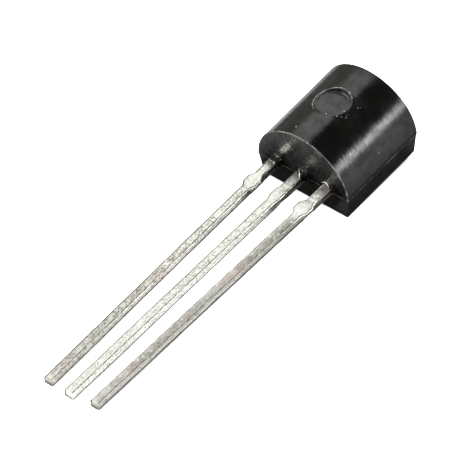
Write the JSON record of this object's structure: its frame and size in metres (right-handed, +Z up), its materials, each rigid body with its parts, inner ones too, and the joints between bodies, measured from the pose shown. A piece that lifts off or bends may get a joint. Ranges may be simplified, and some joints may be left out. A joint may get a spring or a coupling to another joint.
{
  "type": "to-92 transistor",
  "caption": "Through-hole transistor in a small D-shaped moulded case, with straight flat leads in a row at one end, lying as it comes to rest on its flat side.",
  "frame": {"origin": "middle of the bounding box, on the surface the part lies on", "axes": "+X from the lead tips towards the case, +Y across the leads towards the collector, +Z up, from the flat side to the round side"},
  "size_m": [0.018, 0.0044, 0.0037],
  "materials": {
    "case": "satin",
    "leads": "satin",
    "silicon": "polished",
    "solder": "satin",
    "gold": "polished"
  },
  "bodies": {
    "root": {"case": "case", "emitter_lead": "leads", "base_lead": "leads", "collector_lead": "leads", "die": "silicon", "die_attach": "solder", "base_wire": "gold", "emitter_wire": "gold"}
  },
  "joints": []
}
